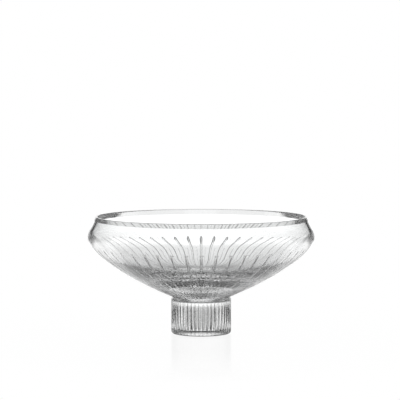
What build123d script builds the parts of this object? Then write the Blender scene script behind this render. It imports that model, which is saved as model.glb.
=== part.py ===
from build123d import *
from math import cos, radians, sin
import os

# Cut-crystal punch bowl that stands on a separate fluted base.
# Millimetres, +Z up. The origin is the centre of the face that the base stands on.

# --- Base: a solid fluted drum of glass ---------------------------------------
BASE_RADIUS = 46.0           # over the ridges between the flutes
BASE_HEIGHT = 54.5
BASE_FOOT_ROUND = 4.0        # rounding of the lower outer edge
FLUTE_COUNT = 48
FLUTE_RADIUS = 3.8           # radius of the wheel's edge that cut each flute
FLUTE_DEPTH = 1.2

# --- Joint between bowl and base ----------------------------------------------
SOCKET_WALL = 6.4            # glass between the socket and the bottoms of the flutes
SOCKET_SIDE_GAP = 0.4
SOCKET_FLOOR_GAP = 0.8
SPIGOT_DEPTH = 3.0           # how far the spigot reaches below the seat
SPIGOT_EDGE = 1.0            # bevel that leads the spigot into its socket

# --- Bowl: heights and the straight upper wall ----------------------------------
BOWL_RADIUS = 175.0          # at the widest ring
WIDEST_ABOVE_SEAT = 95.0     # from the seat on the base up to the widest ring
RIM_ABOVE_WIDEST = 31.0
CORNER_ABOVE_WIDEST = 5.5    # where the wall's line, drawn on down, reaches that radius
WALL_LEAN = 26.7             # degrees that the upper wall leans in from upright
WALL = 6.2                   # thickness of the upper wall
RIM_THICKNESS = 2.8          # of the narrower band that the rim is ground to, inside
RIM_ROUND = 1.0              # fire-polished rounding of the two rim edges

# --- Bowl: collar on the base and floor inside ------------------------------------
COLLAR_INSET = 1.5           # the collar stands this far inside the base's ridges
COLLAR_HEIGHT = 2.5
COLLAR_SLOPE = 22.4          # degrees, where the underside meets the collar
FLOOR_THICKNESS = 31.0       # from the seat up to the inside floor
FLOOR_RADIUS = 36.0          # flat part of the inside floor
FLOOR_SLOPE = 7.3            # degrees, where the inside leaves the flat floor

# --- Shape of the two long curves, outside and inside ------------------------------
# Each leaves the wall's line a height above the widest ring and follows it for twice a
# reach. The belly point and the lower handle are shares of the curve's own span.
OUTER_START = 13.7
OUTER_REACH = 14.8
OUTER_BELLY = (0.194, 0.390)
OUTER_PULL = 0.592
INNER_START = 11.8
INNER_REACH = 13.0
INNER_BELLY = (0.279, 0.492)
INNER_PULL = 0.789

WIDEST_HEIGHT = BASE_HEIGHT + WIDEST_ABOVE_SEAT
RIM_HEIGHT = WIDEST_HEIGHT + RIM_ABOVE_WIDEST
FLOOR_HEIGHT = BASE_HEIGHT + FLOOR_THICKNESS
COLLAR_RADIUS = BASE_RADIUS - COLLAR_INSET
SOCKET_RADIUS = BASE_RADIUS - FLUTE_DEPTH - SOCKET_WALL

wall_up = Vector(-sin(radians(WALL_LEAN)), cos(radians(WALL_LEAN)))
wall_inward = Vector(-wall_up.Y, wall_up.X)


def wall_point(line_point, height):
    """Point at a height on the line that runs up the wall through a given point."""
    return line_point + wall_up * ((height - line_point.Y) / wall_up.Y)


def side_curve(line_point, widest, start, reach, belly, low_end, low_slope, pull):
    """Six control points of one long curve, from its low end up to the straight wall."""
    top = wall_point(line_point, widest.Y + start)
    span = widest - low_end
    handle = Vector(cos(radians(low_slope)), sin(radians(low_slope))) * (pull * span.X)
    belly_point = widest - Vector(belly[0] * span.X, belly[1] * span.Y)
    return [low_end, low_end + handle, belly_point, top - wall_up * (2 * reach), top - wall_up * reach, top]


# --- Fluted base ----------------------------------------------------------------
with BuildPart() as fluted_base:
    with BuildSketch() as base_plan:
        Circle(BASE_RADIUS)
        with PolarLocations(BASE_RADIUS - FLUTE_DEPTH + FLUTE_RADIUS, FLUTE_COUNT):
            Circle(FLUTE_RADIUS, mode=Mode.SUBTRACT)
    extrude(amount=BASE_HEIGHT)

    with BuildSketch(Plane.XZ) as base_envelope:
        with Locations((BASE_RADIUS / 2, BASE_HEIGHT / 2)):
            Rectangle(BASE_RADIUS, BASE_HEIGHT)
        lower_outer_corner = base_envelope.vertices().group_by(Axis.Y)[0].sort_by(Axis.X)[-1]
        fillet(lower_outer_corner, BASE_FOOT_ROUND)
    revolve(axis=Axis.Z, mode=Mode.INTERSECT)

    with BuildSketch(Plane.XY.offset(BASE_HEIGHT)):
        Circle(SOCKET_RADIUS)
    extrude(amount=-(SPIGOT_DEPTH + SOCKET_FLOOR_GAP), mode=Mode.SUBTRACT)

fluted_base.part.label = "fluted_base"

# --- Bowl -----------------------------------------------------------------------
outer_line = Vector(BOWL_RADIUS, WIDEST_HEIGHT + CORNER_ABOVE_WIDEST)
inner_line = outer_line + wall_inward * WALL
outer_rim = wall_point(outer_line, RIM_HEIGHT)
inner_rim = outer_rim - Vector(RIM_THICKNESS, 0)
crease = inner_line + wall_up * ((inner_rim.X - inner_line.X) / wall_up.X)
collar_top = Vector(COLLAR_RADIUS, BASE_HEIGHT + COLLAR_HEIGHT)
floor_edge = Vector(FLOOR_RADIUS, FLOOR_HEIGHT)

outer_points = side_curve(
    outer_line, Vector(BOWL_RADIUS, WIDEST_HEIGHT), OUTER_START, OUTER_REACH,
    OUTER_BELLY, collar_top, COLLAR_SLOPE, OUTER_PULL,
)
inner_points = side_curve(
    inner_line, Vector(BOWL_RADIUS - WALL, WIDEST_HEIGHT), INNER_START, INNER_REACH,
    INNER_BELLY, floor_edge, FLOOR_SLOPE, INNER_PULL,
)

with BuildPart() as bowl:
    with BuildSketch(Plane.XZ) as bowl_section:
        with BuildLine():
            Polyline((0, FLOOR_HEIGHT), (0, BASE_HEIGHT), (COLLAR_RADIUS, BASE_HEIGHT), collar_top)
            Bezier(*outer_points)
            Polyline(outer_points[-1], outer_rim, inner_rim, crease, inner_points[-1])
            Bezier(*inner_points)
            Line(floor_edge, (0, FLOOR_HEIGHT))
        make_face()
        fillet(bowl_section.vertices().group_by(Axis.Y)[-1], RIM_ROUND)
    revolve(axis=Axis.Z)

    with BuildSketch(Plane.XY.offset(BASE_HEIGHT)):
        Circle(SOCKET_RADIUS - SOCKET_SIDE_GAP)
    extrude(amount=-SPIGOT_DEPTH)
    spigot_end = bowl.faces().sort_by(Axis.Z)[0]
    chamfer(spigot_end.edges(), SPIGOT_EDGE)

bowl.part.label = "bowl"

os.makedirs("parts", exist_ok=True)
export_step(fluted_base.part, "parts/fluted_base.step")
export_step(bowl.part, "parts/bowl.step")

print("overall diameter", round(2 * BOWL_RADIUS, 1), "height", round(RIM_HEIGHT, 1))
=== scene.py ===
"""Cut-crystal punch bowl on its fluted base, finished for a plain studio view.

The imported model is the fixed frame. The bowl and its base are remade here with their wheel
cuts: each is one sector that a node tree repeats round the axis. Each rides on the body of
the piece that it stands for. Sizes are named in millimetres, and meshes are made in metres.
"""

import logging
from collections.abc import Sequence
from dataclasses import dataclass, replace
from enum import Enum
from math import asin, atan2, comb, cos, hypot, pi, radians, sin, sqrt

import bmesh
import bpy
from mathutils import Matrix, Vector


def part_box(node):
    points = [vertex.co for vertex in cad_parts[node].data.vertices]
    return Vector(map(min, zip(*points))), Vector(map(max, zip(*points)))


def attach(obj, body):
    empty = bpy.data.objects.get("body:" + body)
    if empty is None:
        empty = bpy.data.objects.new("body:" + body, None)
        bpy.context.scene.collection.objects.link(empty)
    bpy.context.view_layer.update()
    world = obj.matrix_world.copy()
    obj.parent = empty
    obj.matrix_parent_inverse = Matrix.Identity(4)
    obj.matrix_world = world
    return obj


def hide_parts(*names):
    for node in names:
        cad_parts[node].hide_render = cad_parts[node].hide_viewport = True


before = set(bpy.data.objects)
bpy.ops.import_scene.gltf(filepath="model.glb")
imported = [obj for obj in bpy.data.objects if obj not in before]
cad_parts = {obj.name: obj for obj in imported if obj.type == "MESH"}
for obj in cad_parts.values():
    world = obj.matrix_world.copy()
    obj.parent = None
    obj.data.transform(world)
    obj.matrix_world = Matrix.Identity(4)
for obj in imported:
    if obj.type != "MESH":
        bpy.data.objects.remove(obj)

LOG = logging.getLogger("punch_bowl")
MM = 0.001
WELD_DISTANCE = 2e-6          # metres, joins the edges of neighbouring sectors

Point = tuple[float, float]
ColumnPoint = tuple[float, float, float]


class Slot(Enum):
    """Slot names for the two pieces of glass."""

    BOWL = "bowl_glass"
    BASE = "base_glass"


class Body(Enum):
    """Bodies of the frame."""

    BOWL = "bowl"
    BASE = "base"


# --- Small geometry helpers -----------------------------------------------------------


def bezier(points: Sequence[Point], share: float) -> Point:
    """Point on a Bezier curve of any degree.

    Args:
        points: Control points, from the curve's start to its end.
        share: Position along the curve, from 0 to 1.

    Returns:
        The point's radius and height.
    """
    degree = len(points) - 1
    weights = [comb(degree, i) * (1 - share) ** (degree - i) * share ** i for i in range(degree + 1)]
    radius = sum(weight * point[0] for weight, point in zip(weights, points))
    height = sum(weight * point[1] for weight, point in zip(weights, points))
    return radius, height


def round_corner(before: Point, corner: Point, after: Point, radius: float, steps: int) -> list[Point]:
    """Points of the arc that rounds a corner of an outline.

    Args:
        before: A point on the straight side that leads to the corner.
        corner: The sharp corner.
        after: A point on the straight side that leaves it.
        radius: Radius of the rounding.
        steps: Number of spans along the arc.

    Returns:
        The arc's points, in the outline's order.
    """
    c = Vector(corner)
    towards_before = (Vector(before) - c).normalized()
    towards_after = (Vector(after) - c).normalized()
    half_angle = towards_before.angle(towards_after) / 2
    bisector = (towards_before + towards_after).normalized()
    centre = c + bisector * (radius / sin(half_angle))
    reach = radius * cos(half_angle) / sin(half_angle)
    first = c + towards_before * reach - centre
    last = c + towards_after * reach - centre
    start = atan2(first.y, first.x)
    sweep = (atan2(last.y, last.x) - start + pi) % (2 * pi) - pi
    angles = [start + sweep * i / steps for i in range(steps + 1)]
    return [(centre.x + radius * cos(a), centre.y + radius * sin(a)) for a in angles]


class Outline:
    """A run of an outline that can be read at any distance along it."""

    def __init__(self, points: Sequence[Point]) -> None:
        """Measures the run.

        Args:
            points: Closely spaced points, each a radius and a height.
        """
        self.points = list(points)
        self.lengths = [0.0]
        for a, b in zip(self.points, self.points[1:]):
            self.lengths.append(self.lengths[-1] + hypot(b[0] - a[0], b[1] - a[1]))

    @property
    def length(self) -> float:
        """Measures the whole run.

        Returns:
            Its length in millimetres.
        """
        return self.lengths[-1]

    def at(self, distance: float) -> tuple[Point, Point]:
        """Reads the run at a distance from its start.

        Args:
            distance: How far along the run, in millimetres.

        Returns:
            The point there and its outward normal.
        """
        distance = min(max(distance, 0.0), self.length)
        span = next(i for i in range(1, len(self.points)) if self.lengths[i] >= distance)
        a, b = self.points[span - 1], self.points[span]
        share = (distance - self.lengths[span - 1]) / (self.lengths[span] - self.lengths[span - 1])
        length = hypot(b[0] - a[0], b[1] - a[1])
        normal = ((b[1] - a[1]) / length, -(b[0] - a[0]) / length)
        return (a[0] + (b[0] - a[0]) * share, a[1] + (b[1] - a[1]) * share), normal

    def distance_at_height(self, height: float) -> float:
        """Finds where a rising run reaches a height.

        Args:
            height: The height to reach.

        Returns:
            The distance along the run.
        """
        span = next(i for i in range(1, len(self.points)) if self.points[i][1] >= height)
        a, b = self.points[span - 1], self.points[span]
        share = (height - a[1]) / (b[1] - a[1])
        return self.lengths[span - 1] + share * (self.lengths[span] - self.lengths[span - 1])


class Sector:
    """One slice of a turned piece, built row by row from its lower pole to its upper pole."""

    def __init__(self, count: int) -> None:
        """Starts an empty slice.

        Args:
            count: How many such slices go round the piece.
        """
        self.half_angle = pi / count
        self.vertices: list[ColumnPoint] = []
        self.faces: list[tuple[int, ...]] = []
        self.last_row: list[int] = []

    def add_pole(self, height: float) -> None:
        """Closes the slice, or starts it, with a point on the axis.

        Args:
            height: Height of the point.
        """
        self._join([self._add(0.0, 0.0, height)])

    def add_ring(self, radius: float, height: float, spans: int) -> None:
        """Adds a plain arc of a circle across the slice.

        Args:
            radius: Radius of the circle.
            height: Its height.
            spans: How many spans the arc has.
        """
        step = 2 * self.half_angle / spans
        self.add_row([(-self.half_angle + step * i, radius, height) for i in range(spans + 1)])

    def add_row(self, points: Sequence[ColumnPoint]) -> None:
        """Adds a row of points across the slice.

        Args:
            points: Each an angle in radians, and a radius and a height in millimetres.
        """
        self._join([self._add(*point) for point in points])

    def _add(self, angle: float, radius: float, height: float) -> int:
        """Stores one point, in metres.

        Args:
            angle: Angle from the middle of the slice, in radians.
            radius: Radius in millimetres.
            height: Height in millimetres.

        Returns:
            The point's number.
        """
        self.vertices.append((radius * cos(angle) * MM, radius * sin(angle) * MM, height * MM))
        return len(self.vertices) - 1

    def _join(self, row: list[int]) -> None:
        """Fills the strip between the last row and a new one, facing outwards.

        Args:
            row: Numbers of the new row's points.
        """
        done = 2.0  # more than any share of a row, so a row that is used up waits
        low, self.last_row = self.last_row, row
        if not low:
            return
        if len(low) == len(row):
            self.faces += [(low[i], low[i + 1], row[i + 1], row[i]) for i in range(len(low) - 1)]
            return
        i = j = 0
        while i < len(low) - 1 or j < len(row) - 1:
            low_share = (i + 1) / (len(low) - 1) if i < len(low) - 1 else done
            row_share = (j + 1) / (len(row) - 1) if j < len(row) - 1 else done
            if low_share <= row_share:
                self.faces.append((low[i], low[i + 1], row[j]))
                i += 1
            else:
                self.faces.append((low[i], row[j + 1], row[j]))
                j += 1

    def to_object(self, name: str) -> bpy.types.Object:
        """Makes an object of the slice.

        Args:
            name: Name of the object.

        Returns:
            The object, linked to the scene.
        """
        mesh = bpy.data.meshes.new(name)
        mesh.from_pydata(self.vertices, [], self.faces)
        piece = bpy.data.objects.new(name, mesh)
        bpy.context.scene.collection.objects.link(piece)
        return piece


# --- Node helper ----------------------------------------------------------------------


class Maths:
    """Builds chains of Math nodes in a node tree."""

    def __init__(self, tree: bpy.types.NodeTree) -> None:
        """Keeps the tree that the nodes go in.

        Args:
            tree: The tree.
        """
        self.tree = tree

    def do(self, operation: str, *values: float | bpy.types.NodeSocket,
           clamp: bool = False) -> bpy.types.NodeSocket:
        """Adds one Math node.

        Args:
            operation: The node's operation.
            *values: Numbers, or sockets to link.
            clamp: Whether the result is kept between 0 and 1.

        Returns:
            The node's output.
        """
        node = self.tree.nodes.new("ShaderNodeMath")
        node.operation = operation
        node.use_clamp = clamp
        for slot, value in zip(node.inputs, values):
            if isinstance(value, (int, float)):
                slot.default_value = value
            else:
                self.tree.links.new(value, slot)
        return node.outputs["Value"]

    def fade(self, value: bpy.types.NodeSocket, edge: float, width: float) -> bpy.types.NodeSocket:
        """Adds a soft step down.

        Args:
            value: What the step depends on.
            edge: The value at the middle of the step.
            width: How wide the step is.

        Returns:
            1 below the step and 0 above it.
        """
        above = self.do("SUBTRACT", value, edge - width / 2)
        return self.do("SUBTRACT", 1.0, self.do("DIVIDE", above, width), clamp=True)

    def from_axis(self, x: bpy.types.NodeSocket, y: bpy.types.NodeSocket) -> bpy.types.NodeSocket:
        """Works out how far a place is from the axis.

        Args:
            x: The place's x.
            y: The place's y.

        Returns:
            The distance.
        """
        squares = self.do("ADD", self.do("MULTIPLY", x, x), self.do("MULTIPLY", y, y))
        return self.do("SQRT", squares)

    def blend(self, low: float, high: float, share: bpy.types.NodeSocket) -> bpy.types.NodeSocket:
        """Mixes two numbers.

        Args:
            low: The result where share is 0.
            high: The result where share is 1.
            share: How far the result has run from low to high.

        Returns:
            The mix.
        """
        return self.do("ADD", low, self.do("MULTIPLY", high - low, share))


# --- The node tree that repeats a sector round the axis -------------------------------


@dataclass(frozen=True)
class RingOfSectors:
    """Node tree that sets equal slices side by side round the axis."""

    name: str = "ring_of_sectors"

    def build(self) -> bpy.types.NodeTree:
        """Makes the tree.

        Returns:
            The tree, with inputs named Sector, Count and Finish.
        """
        tree = bpy.data.node_groups.new(self.name, "GeometryNodeTree")
        sockets = tree.interface
        sockets.new_socket("Sector", in_out="INPUT", socket_type="NodeSocketGeometry")
        sockets.new_socket("Count", in_out="INPUT", socket_type="NodeSocketInt")
        sockets.new_socket("Finish", in_out="INPUT", socket_type="NodeSocketMaterial")
        sockets.new_socket("Piece", in_out="OUTPUT", socket_type="NodeSocketGeometry")
        nodes, link = tree.nodes, tree.links.new
        given = nodes.new("NodeGroupInput")
        result = nodes.new("NodeGroupOutput")

        centres = nodes.new("GeometryNodePoints")
        link(given.outputs["Count"], centres.inputs["Count"])
        index = nodes.new("GeometryNodeInputIndex")
        maths = Maths(tree)
        pitch = maths.do("DIVIDE", 2 * pi, given.outputs["Count"])
        turn = maths.do("MULTIPLY", index.outputs["Index"], pitch)
        about_axis = nodes.new("FunctionNodeAxisAngleToRotation")
        about_axis.inputs["Axis"].default_value = (0.0, 0.0, 1.0)
        link(turn, about_axis.inputs["Angle"])

        place = nodes.new("GeometryNodeInstanceOnPoints")
        link(centres.outputs["Points"], place.inputs["Points"])
        link(given.outputs["Sector"], place.inputs["Instance"])
        link(about_axis.outputs["Rotation"], place.inputs["Rotation"])
        realize = nodes.new("GeometryNodeRealizeInstances")
        link(place.outputs["Instances"], realize.inputs["Geometry"])
        finish = nodes.new("GeometryNodeSetMaterial")
        link(realize.outputs["Geometry"], finish.inputs["Geometry"])
        link(given.outputs["Finish"], finish.inputs["Material"])
        link(finish.outputs["Geometry"], result.inputs["Piece"])
        return tree

    def turn(self, tree: bpy.types.NodeTree, sector: Sector, name: str, count: int,
             finish: bpy.types.Material, sharp_degrees: float) -> bpy.types.Object:
        """Repeats one slice into a whole closed piece.

        Args:
            tree: The tree that build() made.
            sector: The slice.
            name: Name of the finished piece.
            count: How many slices go round.
            finish: Material of the piece.
            sharp_degrees: Edges that turn more than this stay crisp.

        Returns:
            The piece, with a plain mesh and no modifier.
        """
        slice_object = sector.to_object(name + "_sector")
        modifier = slice_object.modifiers.new("ring", "NODES")
        modifier.node_group = tree
        identifiers = {item.name: item.identifier for item in tree.interface.items_tree}
        modifier[identifiers["Count"]] = count
        modifier[identifiers["Finish"]] = finish
        evaluated = slice_object.evaluated_get(bpy.context.evaluated_depsgraph_get())
        mesh = bpy.data.meshes.new_from_object(evaluated)
        slice_object.modifiers.remove(modifier)
        bpy.data.objects.remove(slice_object)

        work = bmesh.new()
        work.from_mesh(mesh)
        bmesh.ops.remove_doubles(work, verts=work.verts, dist=WELD_DISTANCE)
        work.to_mesh(mesh)
        work.free()
        mesh.name = name
        mesh.shade_smooth()
        mesh.set_sharp_from_angle(angle=radians(sharp_degrees))
        piece = bpy.data.objects.new(name, mesh)
        bpy.context.scene.collection.objects.link(piece)
        return piece


# --- Finishes -------------------------------------------------------------------------


@dataclass(frozen=True)
class WheelPolish:
    """Shader node group for polished glass: a faint ripple, haze in patches, and ground seats."""

    name: str = "wheel_polish"
    seat_radius: float = 44.3      # millimetres; the joint's faces, left as ground, lie within this
    seat_reach: float = 4.2        # and no further than this above or below the seat
    ripple_detail: float = 1.0
    haze_detail: float = 4.0
    haze_from: float = 0.45        # noise at which haze starts
    haze_to: float = 0.75          # noise at which it is full

    def build(self) -> bpy.types.NodeTree:
        """Makes the group.

        Returns:
            The group. It takes Ripple Scale, Haze Scale, Hazy, Seat Height and Ground, and gives
            Ripple and Roughness.
        """
        group = bpy.data.node_groups.new(self.name, "ShaderNodeTree")
        sockets = group.interface
        for socket in ("Ripple Scale", "Haze Scale", "Hazy", "Seat Height", "Ground"):
            sockets.new_socket(socket, in_out="INPUT", socket_type="NodeSocketFloat")
        for socket in ("Ripple", "Roughness"):
            sockets.new_socket(socket, in_out="OUTPUT", socket_type="NodeSocketFloat")
        nodes, link = group.nodes, group.links.new
        given = nodes.new("NodeGroupInput")
        result = nodes.new("NodeGroupOutput")
        place = nodes.new("ShaderNodeTexCoord")

        ripple = nodes.new("ShaderNodeTexNoise")
        ripple.inputs["Detail"].default_value = self.ripple_detail
        link(place.outputs["Object"], ripple.inputs["Vector"])
        link(given.outputs["Ripple Scale"], ripple.inputs["Scale"])
        link(ripple.outputs["Fac"], result.inputs["Ripple"])

        patches = nodes.new("ShaderNodeTexNoise")
        patches.inputs["Detail"].default_value = self.haze_detail
        link(place.outputs["Object"], patches.inputs["Vector"])
        link(given.outputs["Haze Scale"], patches.inputs["Scale"])
        spread = nodes.new("ShaderNodeMapRange")
        spread.inputs["From Min"].default_value = self.haze_from
        spread.inputs["From Max"].default_value = self.haze_to
        link(patches.outputs["Fac"], spread.inputs["Value"])
        link(given.outputs["Hazy"], spread.inputs["To Max"])

        maths = Maths(group)
        axes = nodes.new("ShaderNodeSeparateXYZ")
        link(place.outputs["Object"], axes.inputs["Vector"])
        x, y, z = (axes.outputs[axis] for axis in "XYZ")
        radius = maths.from_axis(x, y)
        from_seat = maths.do("ABSOLUTE", maths.do("SUBTRACT", z, given.outputs["Seat Height"]))
        level = maths.do("LESS_THAN", from_seat, self.seat_reach * MM)
        ground = maths.do("MULTIPLY", level, maths.do("LESS_THAN", radius, self.seat_radius * MM))
        more = maths.do("SUBTRACT", given.outputs["Ground"], spread.outputs["Result"])
        roughness = maths.do("ADD", spread.outputs["Result"], maths.do("MULTIPLY", ground, more))
        link(roughness, result.inputs["Roughness"])
        return group


@dataclass(frozen=True)
class Crystal:
    """Clear lead crystal with its polish."""

    name: str
    tint: tuple[float, float, float] = (0.985, 0.99, 0.99)
    refraction: float = 1.53
    ripple_scale: float = 40.0
    ripple_depth: float = 0.00001  # metres
    haze_scale: float = 30.0
    haze: float = 0.012            # roughness where the haze is full
    ground: float = 0.15           # roughness of the joint's faces

    def build(self, polish: bpy.types.NodeTree, seat_height: float) -> bpy.types.Material:
        """Makes the material.

        Args:
            polish: The group that WheelPolish made.
            seat_height: Height of the joint between the pieces, in millimetres.

        Returns:
            The material.
        """
        material = bpy.data.materials.new(self.name)
        material.use_nodes = True
        nodes, link = material.node_tree.nodes, material.node_tree.links.new
        shader = nodes["Principled BSDF"]
        shader.inputs["Base Color"].default_value = (*self.tint, 1.0)
        shader.inputs["Metallic"].default_value = 0.0
        shader.inputs["IOR"].default_value = self.refraction
        shader.inputs["Transmission Weight"].default_value = 1.0
        surface = nodes.new("ShaderNodeGroup")
        surface.node_tree = polish
        surface.inputs["Ripple Scale"].default_value = self.ripple_scale
        surface.inputs["Haze Scale"].default_value = self.haze_scale
        surface.inputs["Hazy"].default_value = self.haze
        surface.inputs["Seat Height"].default_value = seat_height * MM
        surface.inputs["Ground"].default_value = self.ground
        link(surface.outputs["Roughness"], shader.inputs["Roughness"])
        bump = nodes.new("ShaderNodeBump")
        bump.inputs["Strength"].default_value = 1.0
        bump.inputs["Distance"].default_value = self.ripple_depth
        link(surface.outputs["Ripple"], bump.inputs["Height"])
        link(bump.outputs["Normal"], shader.inputs["Normal"])
        return material


# --- The bowl -------------------------------------------------------------------------


@dataclass(frozen=True)
class Cut:
    """One wheel cut that runs down the outside of the bowl."""

    head_height: float        # where its rounded upper end is
    half_width: float         # at the head
    depth: float              # at the head
    tail_share: float         # of that width and depth left at the collar
    head_length: float = 5.0  # over which the head grows to its full width

    def size(self, distance: float, head: float) -> Point:
        """Half width and depth of the cut at a distance along the outside.

        Args:
            distance: Distance from the collar up the outside.
            head: The head's distance from the collar.

        Returns:
            Half width and depth in millimetres, both 0 above the head.
        """
        below = head - distance
        if below <= 0:
            return 0.0, 0.0
        share = 1 - (1 - self.tail_share) * below / head
        if below < self.head_length:
            share *= sqrt(1 - (1 - below / self.head_length) ** 2)
        return self.half_width * share, self.depth * share


@dataclass
class Bowl:
    """The wide bowl, in one piece of glass with its spigot. Sizes are in millimetres."""

    seat_height: float
    radius: float = 175.0
    rim_height: float = 180.5
    widest_height: float = 149.5
    corner_above_widest: float = 5.5
    lean_degrees: float = 26.7
    wall: float = 6.2
    rim_thickness: float = 2.8
    rim_round: float = 1.0
    collar_radius: float = 44.5
    collar_height: float = 2.5
    collar_slope: float = 22.4
    floor_thickness: float = 31.0
    floor_radius: float = 36.0
    floor_slope: float = 7.3
    spigot_radius: float = 38.0
    spigot_depth: float = 3.0
    spigot_edge: float = 1.0
    seat_gap: float = 0.05         # keeps the two seat faces from lying in one plane
    outer_start: float = 13.7
    outer_reach: float = 14.8
    outer_belly: Point = (0.194, 0.390)
    outer_pull: float = 0.592
    inner_start: float = 11.8
    inner_reach: float = 13.0
    inner_belly: Point = (0.279, 0.492)
    inner_pull: float = 0.789
    cut_count: int = 48
    long_cut: Cut = Cut(head_height=133.5, half_width=2.1, depth=1.35, tail_share=0.50)
    short_cut: Cut = Cut(head_height=98.0, half_width=1.1, depth=0.5, tail_share=0.70)
    cut_shares: tuple[float, ...] = (0.0, 0.5, 1.0)  # columns, from a cut's middle to its edge
    plain_parts: int = 3           # above a long cut, its columns keep half a pitch over this
    row_spacing: float = 1.9
    head_row_spacing: float = 0.8
    head_row_power: float = 1.5    # crowds the rows towards the tip of a head
    head_row_gap: float = 0.4      # plain rows keep this far from a head's rows
    outer_steps: int = 400         # points on which the outside's length is measured
    inner_steps: int = 64
    support_gap: float = 0.3       # rows this close to a rounding keep the long faces flat
    crease_round: float = 0.5
    round_spans: int = 4
    inner_spans: int = 4
    sharp_degrees: float = 30.0

    def _wall_up(self) -> Point:
        """Works out the lean of the straight wall.

        Returns:
            A unit step up the wall.
        """
        return -sin(radians(self.lean_degrees)), cos(radians(self.lean_degrees))

    def _on_wall(self, base: Point, height: float) -> Point:
        """Follows the wall's lean from a given point.

        Args:
            base: A point on the line.
            height: The height to reach.

        Returns:
            The line's point at that height.
        """
        up = self._wall_up()
        rise = (height - base[1]) / up[1]
        return base[0] + up[0] * rise, height

    def _side(self, base: Point, widest: Point, start: float, reach: float, belly: Point,
              low: Point, slope: float, pull: float) -> list[Point]:
        """Six control points of one long curve, from its low end up to the straight wall.

        Args:
            base: A point on the wall's line.
            widest: Radius and height of the widest ring of this side.
            start: How far above the widest ring the curve leaves the wall.
            reach: Spacing of the upper control points, along the wall's line.
            belly: Place of the belly point, as shares of the span in and down.
            low: The curve's low end.
            slope: Degrees that the low end rises outwards.
            pull: Length of the lower handle, as a share of the span.

        Returns:
            The control points.
        """
        up = self._wall_up()
        top = self._on_wall(base, widest[1] + start)
        span = (widest[0] - low[0], widest[1] - low[1])
        handle = pull * span[0]
        low_handle = (low[0] + cos(radians(slope)) * handle, low[1] + sin(radians(slope)) * handle)
        belly_point = (widest[0] - belly[0] * span[0], widest[1] - belly[1] * span[1])
        second = (top[0] - up[0] * reach, top[1] - up[1] * reach)
        third = (top[0] - up[0] * 2 * reach, top[1] - up[1] * 2 * reach)
        return [low, low_handle, belly_point, third, second, top]

    def _curves(self) -> tuple[list[Point], list[Point], Point, Point, Point]:
        """Works out the section.

        Returns:
            Control points of the outside and of the inside, then the rim's outer corner, its
            inner corner and the crease below it.
        """
        up = self._wall_up()
        outer_line = (self.radius, self.widest_height + self.corner_above_widest)
        inner_line = (outer_line[0] - up[1] * self.wall, outer_line[1] + up[0] * self.wall)
        outer_rim = self._on_wall(outer_line, self.rim_height)
        inner_rim = (outer_rim[0] - self.rim_thickness, self.rim_height)
        rise = (inner_rim[0] - inner_line[0]) / up[0]
        crease = (inner_rim[0], inner_line[1] + up[1] * rise)
        collar_top = (self.collar_radius, self.seat_height + self.collar_height)
        floor_edge = (self.floor_radius, self.seat_height + self.floor_thickness)
        outer = self._side(outer_line, (self.radius, self.widest_height), self.outer_start,
                           self.outer_reach, self.outer_belly, collar_top, self.collar_slope,
                           self.outer_pull)
        inner = self._side(inner_line, (self.radius - self.wall, self.widest_height),
                           self.inner_start, self.inner_reach, self.inner_belly, floor_edge,
                           self.floor_slope, self.inner_pull)
        return outer, inner, outer_rim, inner_rim, crease

    def _cut_row(self, point: Point, normal: Point, sizes: Sequence[Point],
                 half_angle: float) -> list[ColumnPoint]:
        """One level of the outside, with a long cut at its middle and half a short one at each side.

        Args:
            point: Radius and height of the uncut surface.
            normal: Its outward normal.
            sizes: Half width and depth of the long cut and of the short one.
            half_angle: Half the sector's angle.

        Returns:
            The row's points.
        """
        half_pitch = half_angle * point[0]
        (long_width, long_depth), (short_width, short_depth) = sizes
        long_line = long_width or half_pitch / self.plain_parts
        short_line = short_width or (half_pitch - long_line) / 2
        land = (half_pitch - long_line - short_line) / 2
        right = [(long_line * share, long_depth * (1 - share ** 2)) for share in self.cut_shares]
        right.append((long_line + land, 0.0))
        right += [
            (half_pitch - short_line * share, short_depth * (1 - share ** 2))
            for share in reversed(self.cut_shares)
        ]
        row = [(-across, depth) for across, depth in right[:0:-1]] + right
        return [
            (across / point[0], point[0] - normal[0] * depth, point[1] - normal[1] * depth)
            for across, depth in row
        ]

    def _supported_arc(self, before: Point, corner: Point, after: Point, radius: float) -> list[Point]:
        """Rounds a corner, with one more point on the straight side at each end.

        Args:
            before: A point on the straight side that leads to the corner.
            corner: The sharp corner.
            after: A point on the straight side that leaves it.
            radius: Radius of the rounding.

        Returns:
            The points, in the outline's order.
        """
        arc = round_corner(before, corner, after, radius, self.round_spans)
        first, last = Vector(arc[0]), Vector(arc[-1])
        into = first + (Vector(before) - first).normalized() * self.support_gap
        out = last + (Vector(after) - last).normalized() * self.support_gap
        return [tuple(into), *arc, tuple(out)]

    def _outside_levels(self, outline: Outline, heads: Sequence[float]) -> list[float]:
        """Spaces the outside's rows, closer together at the heads of the cuts.

        Args:
            outline: The outside, from the collar up to the rim.
            heads: Distances along it of the long and the short cuts' heads.

        Returns:
            The rows' distances along the outside.
        """
        count = round(outline.length / self.row_spacing)
        levels = {outline.length * i / count for i in range(count + 1)}
        for head, cut in zip(heads, (self.long_cut, self.short_cut)):
            low, high = head - cut.head_length - self.head_row_gap, head + self.head_row_gap
            levels = {level for level in levels if not low < level < high}
            steps = round(cut.head_length / self.head_row_spacing)
            shares = [(i / steps) ** self.head_row_power for i in range(steps + 1)]
            levels |= {head - cut.head_length * share for share in shares}
        return sorted(levels)

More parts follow.
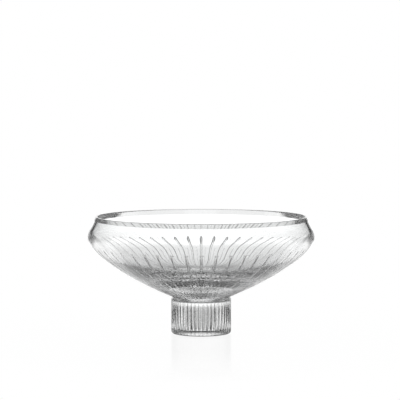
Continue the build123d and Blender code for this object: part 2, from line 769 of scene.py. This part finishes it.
    def build(self, ring: RingOfSectors, tree: bpy.types.NodeTree,
              finish: bpy.types.Material) -> bpy.types.Object:
        """Makes the bowl.

        Args:
            ring: The ring of sectors.
            tree: Its node tree.
            finish: The bowl's crystal.

        Returns:
            The bowl's object.
        """
        outer, inner, outer_rim, inner_rim, crease = self._curves()
        sector = Sector(self.cut_count)
        spigot_end = self.seat_height - self.spigot_depth
        sector.add_pole(spigot_end)
        sector.add_ring(self.spigot_radius - self.spigot_edge, spigot_end, self.inner_spans)
        sector.add_ring(self.spigot_radius, spigot_end + self.spigot_edge, self.inner_spans)
        seat = self.seat_height + self.seat_gap
        sector.add_ring(self.spigot_radius, seat, self.inner_spans)

        outline = Outline([bezier(outer, i / self.outer_steps) for i in range(self.outer_steps + 1)])
        cuts = (self.long_cut, self.short_cut)
        heads = [outline.distance_at_height(cut.head_height) for cut in cuts]
        no_cut = ((0.0, 0.0), (0.0, 0.0))
        half_angle = sector.half_angle
        sector.add_row(self._cut_row((self.collar_radius, seat), (1.0, 0.0), no_cut, half_angle))
        for distance in self._outside_levels(outline, heads):
            point, normal = outline.at(distance)
            sizes = [cut.size(distance, head) for cut, head in zip(cuts, heads)]
            sector.add_row(self._cut_row(point, normal, sizes, half_angle))
        for point in self._supported_arc(outer[-1], outer_rim, inner_rim, self.rim_round):
            sector.add_row(self._cut_row(point, (0.0, 0.0), no_cut, half_angle))
        for point in self._supported_arc(outer_rim, inner_rim, crease, self.rim_round):
            sector.add_ring(*point, self.inner_spans)
        for point in self._supported_arc(inner_rim, crease, inner[-1], self.crease_round):
            sector.add_ring(*point, self.inner_spans)
        for i in range(self.inner_steps, -1, -1):
            sector.add_ring(*bezier(inner, i / self.inner_steps), self.inner_spans)
        sector.add_ring(self.floor_radius / 2, self.seat_height + self.floor_thickness, self.inner_spans)
        sector.add_pole(self.seat_height + self.floor_thickness)
        return ring.turn(tree, sector, "cut_bowl", self.cut_count, finish, self.sharp_degrees)


# --- The base -------------------------------------------------------------------------


@dataclass
class FlutedBase:
    """The fluted drum, in one piece of glass. Sizes are in millimetres."""

    height: float
    radius: float = 46.0
    foot_round: float = 4.0
    flute_count: int = 48
    flute_radius: float = 3.8
    flute_depth: float = 1.2
    arch_top: float = 0.6          # plain band left above the flutes
    arch_height: float = 3.4       # over which a flute's rounded head closes
    socket_radius: float = 38.4
    socket_depth: float = 3.8
    foot_steps: int = 7
    arch_steps: int = 9
    flute_spans: int = 8
    closed_share: float = 0.12     # of half a pitch, kept between the columns of a closed flute
    support_gap: float = 2.0       # a row this far above the foot keeps the flutes straight
    inner_spans: int = 4
    sharp_degrees: float = 26.0

    def _half_width(self, height: float) -> float:
        """Works out how wide the flutes are.

        Args:
            height: Height above the table.

        Returns:
            Half a flute's width, 0 above its head.
        """
        full = sqrt(self.flute_radius ** 2 - (self.flute_radius - self.flute_depth) ** 2)
        below = self.height - self.arch_top - height
        if below >= self.arch_height:
            return full
        return full * sqrt(max(0.0, 1 - (1 - below / self.arch_height) ** 2))

    def _columns(self, height: float) -> list[Point]:
        """Places the columns across one flute and its two half ridges.

        Args:
            height: Height above the table.

        Returns:
            The angle and radius of each column.
        """
        half_pitch = pi * self.radius / self.flute_count
        width = self._half_width(height)
        line = max(width, self.closed_share * half_pitch)
        edge_drop = sqrt(self.flute_radius ** 2 - width ** 2)
        columns = [(-half_pitch, 0.0)]
        for i in range(self.flute_spans + 1):
            share = 2 * i / self.flute_spans - 1
            depth = sqrt(self.flute_radius ** 2 - (width * share) ** 2) - edge_drop
            columns.append((line * share, depth))
        columns.append((half_pitch, 0.0))
        return [(across / self.radius, self.radius - depth) for across, depth in columns]

    def build(self, ring: RingOfSectors, tree: bpy.types.NodeTree,
              finish: bpy.types.Material) -> bpy.types.Object:
        """Makes the base.

        Args:
            ring: The ring of sectors.
            tree: Its node tree.
            finish: The base's crystal.

        Returns:
            The base's object.
        """
        sector = Sector(self.flute_count)
        columns = self._columns(0.0)
        foot_radius = self.radius - self.foot_round
        sector.add_pole(0.0)
        for i in range(self.foot_steps + 1):
            row = []
            for angle, radius in columns:
                turned = asin((radius - foot_radius) / self.foot_round) * i / self.foot_steps
                out, up = self.foot_round * sin(turned), self.foot_round * (1 - cos(turned))
                row.append((angle, foot_radius + out, up))
            sector.add_row(row)
        arch_foot = self.height - self.arch_top - self.arch_height
        middle = (self.foot_round + arch_foot) / 2
        for height in (self.foot_round + self.support_gap, middle, arch_foot):
            sector.add_row([(angle, radius, height) for angle, radius in columns])
        for i in range(1, self.arch_steps + 1):
            height = arch_foot + self.arch_height * sin(pi / 2 * i / self.arch_steps)
            sector.add_row([(angle, radius, height) for angle, radius in self._columns(height)])
        top_columns = self._columns(self.height)
        sector.add_row([(angle, self.radius, self.height) for angle, _ in top_columns])
        socket_floor = self.height - self.socket_depth
        sector.add_ring(self.socket_radius, self.height, self.inner_spans)
        sector.add_ring(self.socket_radius, socket_floor, self.inner_spans)
        sector.add_pole(socket_floor)
        return ring.turn(tree, sector, "cut_base", self.flute_count, finish, self.sharp_degrees)


# --- The studio -----------------------------------------------------------------------


@dataclass(frozen=True)
class SoftPanels:
    """Four tall soft panels round the object, with dark gaps that draw the edges of the glass."""

    light: float = 1.25
    main_half_degrees: float = 18.0
    side_half_degrees: float = 12.0
    edge_degrees: float = 5.0
    top_degrees: float = 13.0
    top_edge_degrees: float = 10.0
    gap_light: float = 0.03

    def by_azimuth(self, maths: Maths, x: bpy.types.NodeSocket,
                   y: bpy.types.NodeSocket) -> bpy.types.NodeSocket:
        """Works out the share of light that comes from a level direction.

        Args:
            maths: Where the nodes go.
            x: East part of the direction.
            y: North part of the direction.

        Returns:
            1 towards a panel, 0 towards a gap.
        """
        azimuth = maths.do("ABSOLUTE", maths.do("ARCTAN2", x, y))
        main, side = self.main_half_degrees, self.side_half_degrees
        shares = []
        for centre, half in ((0, main), (90, side), (180, main)):
            away = maths.do("ABSOLUTE", maths.do("SUBTRACT", azimuth, radians(centre)))
            shares.append(maths.fade(away, radians(half), radians(self.edge_degrees)))
        return maths.do("MAXIMUM", shares[0], maths.do("MAXIMUM", shares[1], shares[2]))

    def light_world(self) -> None:
        """Lights the scene with the panels; what the camera sees directly is plain white."""
        world = bpy.data.worlds.new("studio")
        bpy.context.scene.world = world
        world.use_nodes = True
        tree = world.node_tree
        tree.nodes.clear()
        maths = Maths(tree)
        place = tree.nodes.new("ShaderNodeTexCoord")
        axes = tree.nodes.new("ShaderNodeSeparateXYZ")
        tree.links.new(place.outputs["Generated"], axes.inputs["Vector"])
        rays = tree.nodes.new("ShaderNodeLightPath")
        elevation = maths.do("ARCSINE", axes.outputs["Z"])
        panels = self.by_azimuth(maths, axes.outputs["X"], axes.outputs["Y"])
        low = maths.fade(elevation, radians(self.top_degrees), radians(self.top_edge_degrees))
        light = maths.blend(self.gap_light, self.light, maths.do("MULTIPLY", panels, low))
        to_white = maths.do("MULTIPLY", rays.outputs["Is Camera Ray"], maths.do("SUBTRACT", 1.0, light))
        strength = maths.do("ADD", light, to_white)
        background = tree.nodes.new("ShaderNodeBackground")
        background.inputs["Color"].default_value = (1.0, 1.0, 1.0, 1.0)
        tree.links.new(strength, background.inputs["Strength"])
        output = tree.nodes.new("ShaderNodeOutputWorld")
        tree.links.new(background.outputs["Background"], output.inputs["Surface"])


@dataclass(frozen=True)
class Floor:
    """A pale polished table under the object. Lengths in metres, half widths of fans in degrees.

    A slant is 0 where the table is seen straight on and 1 where it is seen edge on. What the glass sees
    of the table is painted light: a glow in fans that copy the panels, with a painted shadow under the
    bowl.
    """

    radius: float = 1.0
    below: float = 0.0002
    corners: int = 96
    mirror_share: float = 0.10
    mirror_roughness: float = 0.10
    mirror_radius: float = 0.35       # the mirror fades out here, so the table has no far edge
    mirror_edge: float = 0.30
    near_radius: float = 0.50         # closer than this, the painted light falls in a narrower fan
    near_edge: float = 0.12
    near_half_degrees: float = 7.0
    far_half_degrees: float = 27.0
    gap_light: float = 0.03
    facing_blend: float = 0.5         # makes a slant follow the angle of view alone
    grazing_slant: float = 0.862      # beyond this slant the near fan counts
    grazing_edge: float = 0.02
    steep_slant: float = 0.76         # below this the painted light is even all round
    steep_edge: float = 0.10
    steep_light: float = 0.70
    steepest_slant: float = 0.42      # and below this it is weaker
    steepest_light: float = 0.50
    shade_radius: float = 0.17        # painted shade under the bowl
    shade_edge: float = 0.08
    shade_share: float = 0.30
    light: float = 1.35

    def _finish_and_painted_light(self, panels: SoftPanels) -> bpy.types.Material:
        """Makes the table top: white to the camera, and painted light and shade as the glass sees it.

        Args:
            panels: The lights whose fans the painted light copies.

        Returns:
            The material.
        """
        material = bpy.data.materials.new("table_top")
        material.use_nodes = True
        tree = material.node_tree
        tree.nodes.clear()
        maths = Maths(tree)
        place = tree.nodes.new("ShaderNodeTexCoord")
        axes = tree.nodes.new("ShaderNodeSeparateXYZ")
        tree.links.new(place.outputs["Object"], axes.inputs["Vector"])
        x, y = axes.outputs["X"], axes.outputs["Y"]
        distance = maths.from_axis(x, y)
        near = maths.fade(distance, self.near_radius, self.near_edge)
        far_light = replace(panels, main_half_degrees=self.far_half_degrees).by_azimuth(maths, x, y)
        near_light = replace(panels, main_half_degrees=self.near_half_degrees).by_azimuth(maths, x, y)
        facing = tree.nodes.new("ShaderNodeLayerWeight")
        facing.inputs["Blend"].default_value = self.facing_blend
        slant = facing.outputs["Facing"]
        grazing = maths.do("SUBTRACT", 1.0, maths.fade(slant, self.grazing_slant, self.grazing_edge))
        steep = maths.fade(slant, self.steep_slant, self.steep_edge)
        steepest = maths.fade(slant, self.steepest_slant, self.steep_edge)
        change = maths.do("SUBTRACT", near_light, far_light)
        change = maths.do("MULTIPLY", maths.do("MULTIPLY", near, grazing), change)
        fan = maths.do("ADD", far_light, change)
        even = maths.blend(self.steep_light, self.steepest_light, steepest)
        by_slant = maths.do("ADD", fan, maths.do("MULTIPLY", steep, maths.do("SUBTRACT", even, fan)))
        # painted shadow: the table's glow is dimmed near the axis, under the bowl
        painted_shadow_under_bowl = maths.do("MULTIPLY", maths.fade(distance, self.shade_radius, self.shade_edge), steep)
        lit = maths.do("MULTIPLY", by_slant, maths.blend(1.0, self.shade_share, painted_shadow_under_bowl))
        # painted light: to rays from the glass the table glows in the panels' fans and gaps, with painted
        # shade under the bowl
        painted_light_for_glass = tree.nodes.new("ShaderNodeEmission")
        strength = maths.blend(self.gap_light, self.light, lit)
        tree.links.new(strength, painted_light_for_glass.inputs["Strength"])
        white = tree.nodes.new("ShaderNodeEmission")
        mirror = tree.nodes.new("ShaderNodeBsdfGlossy")
        mirror.inputs["Roughness"].default_value = self.mirror_roughness
        top = tree.nodes.new("ShaderNodeMixShader")
        round_object = maths.fade(distance, self.mirror_radius, self.mirror_edge)
        tree.links.new(maths.do("MULTIPLY", round_object, self.mirror_share), top.inputs["Fac"])
        tree.links.new(white.outputs["Emission"], top.inputs[1])
        tree.links.new(mirror.outputs["BSDF"], top.inputs[2])
        rays = tree.nodes.new("ShaderNodeLightPath")
        choose = tree.nodes.new("ShaderNodeMixShader")
        tree.links.new(rays.outputs["Is Camera Ray"], choose.inputs["Fac"])
        tree.links.new(painted_light_for_glass.outputs["Emission"], choose.inputs[1])
        tree.links.new(top.outputs["Shader"], choose.inputs[2])
        output = tree.nodes.new("ShaderNodeOutputMaterial")
        tree.links.new(choose.outputs["Shader"], output.inputs["Surface"])
        return material

    def build(self, panels: SoftPanels) -> bpy.types.Object:
        """Makes the table top.

        Args:
            panels: The lights whose fans the table's painted light copies.

        Returns:
            The table's object.
        """
        angles = [2 * pi * i / self.corners for i in range(self.corners)]
        mesh = bpy.data.meshes.new("table")
        rim = [(self.radius * cos(a), self.radius * sin(a), -self.below) for a in angles]
        mesh.from_pydata(rim, [], [tuple(range(self.corners))])
        mesh.materials.append(self._finish_and_painted_light(panels))
        table = bpy.data.objects.new("table", mesh)
        bpy.context.scene.collection.objects.link(table)
        return table


@dataclass(frozen=True)
class Camera:
    """A long lens, a little above the rim. Metres and degrees; lens and sensor in millimetres."""

    distance: float = 3.064
    height: float = 0.4014
    aside: float = -0.0018
    look_down: float = 3.66
    lens: float = 180.0
    sensor: float = 36.0
    sees_to: float = 100.0

    def build(self) -> bpy.types.Object:
        """Makes the camera and gives it to the scene.

        Returns:
            The camera's object.
        """
        data = bpy.data.cameras.new("camera")
        data.lens = self.lens
        data.sensor_width = self.sensor
        data.clip_end = self.sees_to
        camera = bpy.data.objects.new("camera", data)
        place = Matrix.Translation((self.aside, -self.distance, self.height))
        camera.matrix_world = place @ Matrix.Rotation(pi / 2 - radians(self.look_down), 4, "X")
        bpy.context.scene.collection.objects.link(camera)
        bpy.context.scene.camera = camera
        return camera


def set_light_paths(bounces: int = 32) -> None:
    """Lets light pass through many layers of glass, and shows white as white.

    Args:
        bounces: How many surfaces a ray may cross.
    """
    scene = bpy.context.scene
    scene.cycles.max_bounces = bounces
    scene.cycles.transmission_bounces = bounces
    scene.cycles.glossy_bounces = bounces
    scene.cycles.use_denoising = True
    scene.view_settings.view_transform = "Standard"


def report(piece: bpy.types.Object) -> None:
    """Logs a piece's name and how many triangles it has.

    Args:
        piece: The finished piece.
    """
    triangles = sum(len(face.vertices) - 2 for face in piece.data.polygons)
    LOG.info("%s: %d triangles", piece.name, triangles)


def main() -> None:
    """Builds the object, its finishes and the studio."""
    logging.basicConfig(level=logging.INFO, format="%(message)s")
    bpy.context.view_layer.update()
    seat_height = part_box("fluted_base")[1][2] / MM

    polish = WheelPolish().build()
    ring = RingOfSectors()
    tree = ring.build()
    bowl_crystal = Crystal("bowl_crystal").build(polish, seat_height)
    base_crystal = Crystal("base_crystal").build(polish, seat_height)

    bowl = Bowl(seat_height=seat_height).build(ring, tree, bowl_crystal)
    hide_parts("bowl")
    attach(bowl, Body.BOWL.value)
    report(bowl)

    base = FlutedBase(height=seat_height).build(ring, tree, base_crystal)
    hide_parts("fluted_base")
    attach(base, Body.BASE.value)
    report(base)

    panels = SoftPanels()
    panels.light_world()
    Floor().build(panels)
    Camera().build()
    set_light_paths()

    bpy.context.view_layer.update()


if __name__ == "__main__":
    main()
